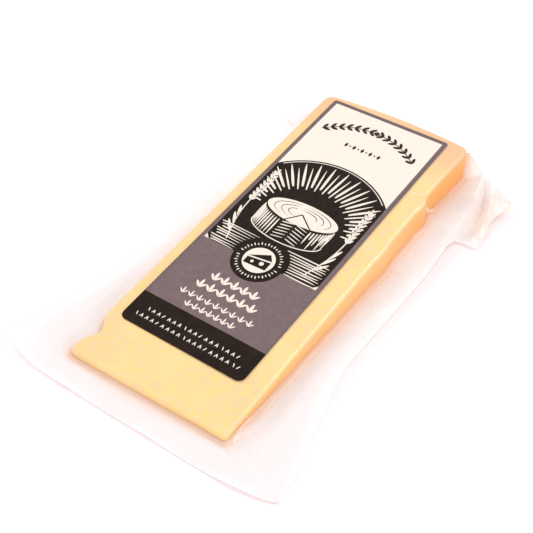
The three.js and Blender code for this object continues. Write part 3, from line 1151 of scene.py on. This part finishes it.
# %% [markdown]
# ## The paper of the label
#
# The label is coated paper, printed grey violet all over, with a soft sheen. It could be a plain
# plate, but paper has fibre and a barely even ink, so the colour is mottled and a fine bump runs
# through it.

# %% The finish of paper and ink
LABEL_GREY = (0.160, 0.112, 0.116)
LABEL_GREY_WORN = (0.200, 0.145, 0.145)
LABEL_CREAM = (0.79, 0.705, 0.625)
LABEL_CREAM_DEEP = (0.76, 0.66, 0.56)
LABEL_BLACK = (0.011, 0.005, 0.002)
LABEL_BLACK_WORN = (0.024, 0.014, 0.010)
LABEL_BROWN = (0.040, 0.017, 0.014)
LABEL_BROWN_WORN = (0.065, 0.030, 0.024)


def print_material(name, colour, worn, roughness):
    """Printed ink on coated paper"""
    material, tree, place = new_material(name)
    cloud = patches(tree, place, 350, 4, 0.35, 0.75)
    fibre = patches(tree, place, 2600, 3, 0.3, 0.7)
    shader = add(tree, "ShaderNodeBsdfPrincipled", {
        "Base Color": blend(tree, times(tree, cloud, 0.6), colour, worn),
        "Roughness": between(tree, cloud, 0, 1, roughness, roughness + 0.12),
        "Specular IOR Level": 0.16,
        "Normal": bump(tree, fibre, 0.012, 0.5),
    })
    finish_material(tree, shader.outputs[0])
    return material


GREY_PAPER = print_material("label grey", LABEL_GREY, LABEL_GREY_WORN, 0.5)
CREAM_INK = print_material("label cream", LABEL_CREAM, LABEL_CREAM_DEEP, 0.5)
BLACK_INK = print_material("label black", LABEL_BLACK, LABEL_BLACK_WORN, 0.45)
BROWN_INK = print_material("label brown", LABEL_BROWN, LABEL_BROWN_WORN, 0.5)

# %% [markdown]
# The sheet is one panel whose corners are rounder at the near end. It is cut into cells before it is
# laid down, because a single face can't follow the paper's wave.

# %% The paper
NEAR_CORNERS = 3.0
FAR_CORNERS = 1.2

sheet = bmesh.new()
panel(sheet, 0, LABEL_WIDTH, 0, LABEL_LENGTH, (NEAR_CORNERS, FAR_CORNERS))
paper = make_piece("label_paper", lay(slice_drawing(sheet), PAPER_THICKNESS), GREY_PAPER)
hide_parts("label")
give_thickness(paper, PAPER_THICKNESS)


# %% [markdown]
# ## Printed fields
#
# The print is built up in layers, like a lino cut: cream fields on the grey paper, black fields on
# those, and fine lines on top. Each layer is one mesh a few hundredths of a millimetre above the
# last.

# %% Helpers for a printed layer
def printed(name, bm, level, material):
    """Lays a drawing on the label as one printed layer"""
    for face in bm.faces:
        if face.normal.z < 0:
            face.normal_flip()
    piece = make_piece(name, lay(bm, PAPER_THICKNESS + level * INK_STEP), material, smooth=False)
    return give_thickness(piece, INK_STEP * 0.7)


def disc(bm, u, v, radius, steps=48, squash=1.0):
    """A filled circle, or an ellipse where it is squashed"""
    points = bmesh.ops.create_circle(bm, cap_ends=True, radius=1, segments=steps)["verts"]
    matrix = Matrix.Translation((u, -v, 0)) @ Matrix.Diagonal((radius, radius * squash, 1, 1))
    bmesh.ops.transform(bm, matrix=matrix, verts=points)


def stroke(bm, points, width, steps=None, taper=None):
    """A strip along a smooth line of (u, v) points. A taper function changes its width."""
    path = [Vector((u, -v, 0)) for u, v in points]
    steps = steps or 4 * (len(path) - 1)
    line = smooth_line(path, steps)
    for step, row in enumerate(strip_grid(bm, steps, 1)):
        ahead = line[min(step + 1, steps)] - line[max(step - 1, 0)]
        across = UPWARDS.cross(ahead).normalized()
        wide = width * (taper(step / steps) if taper else 1)
        for point, way in zip(row, (-0.5, 0.5)):
            point.co = line[step] + across * wide * way


def leaf_shape(share):
    """A leaf's width along its length: pointed at both ends"""
    return 0.06 + 0.94 * math.sin(math.pi * share) ** 0.8


def spike(share):
    """A cut that starts thin, swells and ends in a point"""
    return 0.08 + 0.92 * math.sin(math.pi * min(share * 0.75 + 0.2, 1)) ** 1.2


def trim(bm, place, direction):
    """Cuts off what lies past a place in a direction"""
    bmesh.ops.bisect_plane(bm, geom=bm.verts[:] + bm.edges[:] + bm.faces[:],
                           plane_co=place, plane_no=direction, clear_outer=True)


# %% [markdown]
# The fields come first: a cream one inside the border, a black arch behind the picture, a black
# band at the near end, and a roundel with a pale face. The arch starts as a disc and is trimmed to
# the frame.

# %% The fields
BORDER = 2
PICTURE_BOTTOM = 104
BAND_TOP = 140.5

fields = bmesh.new()
panel(fields, BORDER, LABEL_WIDTH - BORDER, BORDER, PICTURE_BOTTOM)
printed("label_field_cream", slice_drawing(fields), 1, CREAM_INK)

ARCH = {"u": 30, "v": 76, "radius": 38}
dark_fields = bmesh.new()
disc(dark_fields, ARCH["u"], ARCH["v"], ARCH["radius"], 96)
trim(dark_fields, (BORDER, 0, 0), (-1, 0, 0))
trim(dark_fields, (LABEL_WIDTH - BORDER, 0, 0), (1, 0, 0))
trim(dark_fields, (0, -PICTURE_BOTTOM, 0), (0, -1, 0))
printed("label_field_picture", slice_drawing(dark_fields), 2, BLACK_INK)

band = bmesh.new()
panel(band, 0, LABEL_WIDTH, BAND_TOP, LABEL_LENGTH, (NEAR_CORNERS,))
printed("label_field_band", slice_drawing(band), 1, BLACK_INK)

ROUNDEL = {"u": 29.5, "v": 103, "radius": 11.8, "face": 7.0}
roundel = bmesh.new()
disc(roundel, ROUNDEL["u"], ROUNDEL["v"], ROUNDEL["radius"], 72)
printed("label_roundel", slice_drawing(roundel), 3, BLACK_INK)
roundel_face = bmesh.new()
disc(roundel_face, ROUNDEL["u"], ROUNDEL["v"], ROUNDEL["face"], 56)
printed("label_roundel_face", slice_drawing(roundel_face), 4, CREAM_INK)

# %% [markdown]
# ## The line work
#
# All lines are cut with one tool, as in lino: a stroke whose width swells and tapers. The picture is
# a whole cheese on a board in front of rays, between two ears of wheat. Rows of leaves and cuts
# fill the rest.

# %% Small shapes for the line work
def round_about(centre, radius, degrees, squash=1.0):
    """The (u, v) of a place on a circle or an ellipse"""
    angle = math.radians(degrees)
    return (centre[0] + radius * math.cos(angle),
            centre[1] - radius * squash * math.sin(angle))


def cut(bm, start, degrees, length, width, taper=leaf_shape, steps=6):
    """A straight tapered cut from a place"""
    stroke(bm, [start, round_about(start, length, degrees)], width, steps, taper)


def sprig(bm, u, v, height, width):
    """Three leaves that grow from one point, centred on a place"""
    foot = (u, v + height / 2)
    cut(bm, foot, 90, height, width)
    for lean in (-42, 42):
        cut(bm, foot, 90 + lean, 0.82 * height, 0.8 * width)


def filled(bm, *corners):
    """A filled shape between (u, v) corners"""
    points = [bm.verts.new((u, -v, 0)) for u, v in corners]
    bmesh.ops.contextual_create(bm, geom=points)


# %% [markdown]
# The garland is an arc with a pair of leaves at each knot. The leaves lean towards the middle from
# both sides, like two branches that meet at a bead. Lozenges and dots stand below it.

# %% The garland and the lozenges on the cream field
GARLAND = ((29.5, 46), 35)
GARLAND_LEAVES = 15
LOZENGE_PITCH = 4.2

brown = bmesh.new()
stroke(brown, [round_about(*GARLAND, 133 - 85 * step / 8) for step in range(9)], 0.45, 40)
for number in range(GARLAND_LEAVES):
    degrees = 132 - 84 * number / (GARLAND_LEAVES - 1)
    towards = 90 if number < GARLAND_LEAVES // 2 else -90
    knot = round_about(*GARLAND, degrees)
    if number == GARLAND_LEAVES // 2:
        disc(brown, *knot, 1.3, 16)
        continue
    for lean in (-38, 38):
        cut(brown, knot, degrees + towards + 180 + lean, 3.7, 1.5)
for number in range(5):
    cut(brown, (21.5 + LOZENGE_PITCH * number, 25.8), 90, 3.0, 1.7, steps=2)
    if number:
        disc(brown, 19.4 + LOZENGE_PITCH * number, 24.3, 0.45, 10)
printed("label_garland", brown, 2, BROWN_INK)

# %% [markdown]
# The picture is pale cuts on the black arch. Rays of two kinds start round the wheel of cheese,
# strokes down its side show its height, an ear of wheat stands on either side, and long strokes
# below make the board.

# %% The picture: rays, wheel, wheat and board
SUN = (30, 76)
RAYS = 33
RAY_STARTS = (20.5, 22.5)
RAY_ENDS = (33.0, 35.6)
RAY_WIDTHS = (0.8, 1.25)
RAY_LEAST = 3
RAY_ROOM = 26.4

cream = bmesh.new()
for number in range(RAYS):
    kind = number % 2
    degrees = 6 + 168 * number / (RAYS - 1)
    start = round_about(SUN, RAY_STARTS[kind], degrees, 0.92)
    wall_distance = RAY_ROOM / max(abs(math.cos(math.radians(degrees))), 0.1)
    end = min(RAY_ENDS[kind], wall_distance)
    length = math.dist(start, round_about(SUN, end, degrees))
    if length > RAY_LEAST:
        cut(cream, start, degrees, length, RAY_WIDTHS[kind], spike, 8)
stroke(cream, [round_about(SUN, 37.0, 134 - 88 * step / 12) for step in range(13)], 0.4, 48)

WHEEL = {"u": 30, "v": 72, "radius": 17.5, "squash": 0.36, "height": 12}
WHEEL_STROKES = 29
SLICE_U = (24, 38.5)
disc(cream, WHEEL["u"], WHEEL["v"], WHEEL["radius"], 64, WHEEL["squash"])
for number in range(WHEEL_STROKES):
    degrees = 186 + 168 * number / (WHEEL_STROKES - 1)
    u, v = round_about((WHEEL["u"], WHEEL["v"] + 1.2), WHEEL["radius"], degrees, WHEEL["squash"])
    if not SLICE_U[0] < u < SLICE_U[1]:
        length = WHEEL["height"] - 1.5 - 3.0 * (number % 3) * (u > WHEEL["u"])
        cut(cream, (u, v), -90, length, 0.75, spike)
stroke(cream, [round_about((WHEEL["u"], WHEEL["v"] + WHEEL["height"]), WHEEL["radius"],
                           182 + 176 * step / 12, WHEEL["squash"]) for step in range(13)], 0.5, 48)
for number in range(7):
    v = 76.5 + 1.8 * number
    stroke(cream, [(24.8, v + 1.2), (30.5, v)], 0.7 - 0.04 * number, 5, spike)
    stroke(cream, [(31.5, v), (37.6, v + 1.5)], 0.5, 5, spike)

for side in (-1, 1):
    stem = [(30 + side * 19.5, 100), (30 + side * 23.5, 86), (30 + side * 24.6, 72),
            (30 + side * 24, 58)]
    stroke(cream, stem, 0.55, 24)
    for number in range(8):
        u, v = 30 + side * (24.55 - 0.006 * number ** 2), 76 - 2.6 * number
        for lean in (-32, 32):
            cut(cream, (u, v), 90 + lean, 3.2, 1.25)
    cut(cream, (30 + side * 24.1, 57), 90, 3.6, 1.2)
    for number in range(3):
        cut(cream, (30 + side * (20.8 + 1.1 * number), 96 - 4.2 * number),
            90 - side * (38 - 8 * number), 7.5, 1.3)

BOARD_TOP = 92.2
BOARD_PITCH = 1.42
BOARD_WIDTH = 0.62
ROUNDEL_CLEAR = 12.9
for number in range(9):
    v = BOARD_TOP + BOARD_PITCH * number
    gap = math.sqrt(max(ROUNDEL_CLEAR ** 2 - (v - ROUNDEL["v"]) ** 2, 1))
    wave = 0.3 * math.sin(1.7 * number)
    stroke(cream, [(3 + 0.9 * (number % 3), v), (8, v - wave), (ROUNDEL["u"] - gap, v + 0.2)],
           BOARD_WIDTH, 10, spike)
    stroke(cream, [(ROUNDEL["u"] + gap, v), (52, v + wave), (57 - 0.8 * (number % 2), v)],
           BOARD_WIDTH, 10, spike)
printed("label_picture_cuts", cream, 3, CREAM_INK)

# %% [markdown]
# Some cuts are dark on light: the slice marked on the wheel, the wheel's rings, and the wedge on the
# roundel's pale face. They are layers of their own, above the pale ones.

# %% Dark cuts on the cheese, the roundel's ring and its wedge
WHEEL_MIDDLE = (WHEEL["u"], WHEEL["v"])

dark = bmesh.new()
stroke(dark, [WHEEL_MIDDLE, (24.4, 78.6)], 0.55, 6)
stroke(dark, [WHEEL_MIDDLE, (38.2, 78.2)], 0.55, 6)
for ring in range(1, 4):
    radius = WHEEL["radius"] * (1 - 0.2 * ring)
    for begin, end in ((-35, 80), (95, 222)):
        stroke(dark, [round_about(WHEEL_MIDDLE, radius, lerp(begin, end, step / 8) + 9 * ring,
                                  WHEEL["squash"]) for step in range(9)], 0.32, 24, spike)
printed("label_dark_cuts", dark, 4, BLACK_INK)

ring_cuts = bmesh.new()
TICKS = 40
for number in range(TICKS):
    degrees = 360 * number / TICKS
    if number % 20:
        start = round_about((ROUNDEL["u"], ROUNDEL["v"]), 8.6, degrees)
        cut(ring_cuts, start, degrees, 1.7 if number % 2 else 1.2, 0.6, steps=3)
printed("label_roundel_ring", ring_cuts, 4, CREAM_INK)

wedge = bmesh.new()
filled(wedge, (24.2, 102.6), (34.8, 101.0), (32.3, 98.0))
filled(wedge, (24.2, 103.4), (34.8, 101.8), (34.8, 106.4), (24.2, 106.9))
printed("label_wedge", wedge, 5, BLACK_INK)
holes = bmesh.new()
disc(holes, 27.4, 104.9, 0.75, 12)
disc(holes, 31.6, 104.1, 1.05, 16)
printed("label_wedge_holes", holes, 6, CREAM_INK)

# %% [markdown]
# Rows of sprigs stand on the grey ground, and rows of short slanted cuts in the black band. Each row
# is one entry in a table, and a loop spaces what is in it.

# %% Rows of leaves and cuts
SPRIG_ROWS = (
    (20.3, 39.2, 119.3, 5, 4.6, 1.35), (17.3, 42.2, 125.3, 6, 4.6, 1.35),
    (13.4, 46.1, 131.8, 9, 3.4, 0.8), (19.2, 40.5, 136.4, 7, 3.4, 0.8),
)
CUT_ROWS = ((8.5, 51.5, 148.2, 7), (5.5, 54.5, 152.2, 9))
CUT_PITCH = 1.3

rows = bmesh.new()
for left, right, v, count, height, width in SPRIG_ROWS:
    for number in range(count):
        sprig(rows, lerp(left, right, number / (count - 1)), v, height, width)
for left, right, v, skip in CUT_ROWS:
    count = int((right - left) / CUT_PITCH)
    for number in range(count + 1):
        if number % skip != skip - 1:
            lean = 24 if number % 2 else -20
            cut(rows, (lerp(left, right, number / count), v), 90 - lean, 2.1, 0.5, steps=3)
printed("label_rows", rows, 2, CREAM_INK)

# %% [markdown]
# ## The floor and the light
#
# The pack lies on a plain white surface in very even light. One strong lamp would show the form
# best, but it would draw hard lines in the film. So four soft lamps share the work, and only the
# narrow one from above is seen in reflections, where it makes the shine along the edges.

# %% The floor and the light
FLOOR_TINTS = ((0.95, 0.85, 0.86), (0.95, 0.855, 0.855))
FLOOR_REACH = 3000
FLOOR_DROP = 0.05
SURROUND = 0.72


def floor_material():
    """A white surface that reads almost pure white, with a breath of tone in it"""
    material, tree, place = new_material("white surface")
    cloud = patches(tree, place, 14, 2, 0.3, 0.7)
    shader = add(tree, "ShaderNodeBsdfPrincipled", {
        "Base Color": blend(tree, cloud, *FLOOR_TINTS),
        "Roughness": 0.8,
        "Specular IOR Level": 0.2,
    })
    finish_material(tree, shader.outputs[0])
    return material


ground = bmesh.new()
bmesh.ops.create_grid(ground, x_segments=8, y_segments=8, size=FLOOR_REACH)
bmesh.ops.translate(ground, vec=(0, 0, -FLOOR_DROP), verts=ground.verts)
bmesh.ops.scale(ground, vec=(MM, MM, MM), verts=ground.verts)
ground_mesh = bpy.data.meshes.new("floor")
ground.to_mesh(ground_mesh)
ground.free()
floor = bpy.data.objects.new("floor", ground_mesh)
floor.data.materials.append(floor_material())
bpy.context.scene.collection.objects.link(floor)


def area_light(name, direction, distance, width, height, power, mirrored=True):
    """A soft light that faces the pack, and may be left out of reflections"""
    lamp = bpy.data.lights.new(name, "AREA")
    lamp.shape = "RECTANGLE"
    lamp.size = width
    lamp.size_y = height
    lamp.energy = power
    light = bpy.data.objects.new(name, lamp)
    towards = Vector(direction).normalized()
    light.location = towards * distance
    light.rotation_euler = towards.to_track_quat("Z", "Y").to_euler()
    light.visible_glossy = mirrored
    bpy.context.scene.collection.objects.link(light)


SOFT = {"distance": 1.6, "width": 0.9, "height": 0.9, "mirrored": False}
area_light("key", (-0.8, 0.2, 0.57), power=11.0, **SOFT)
area_light("fill", (0.9, -0.3, 0.35), power=9.5, **SOFT)
area_light("edge", (0.24, 0.43, 0.87), distance=1.3, width=0.7, height=0.14, power=4.0)
area_light("front", (0.05, -0.95, 0.28), power=6.5, **SOFT)
world = bpy.data.worlds.new("studio")
world.use_nodes = True
world.node_tree.nodes["Background"].inputs["Color"].default_value = (1, 1, 1, 1)
world.node_tree.nodes["Background"].inputs["Strength"].default_value = SURROUND
bpy.context.scene.world = world
bpy.context.scene.view_settings.view_transform = "Standard"
bpy.context.scene.view_settings.look = "None"
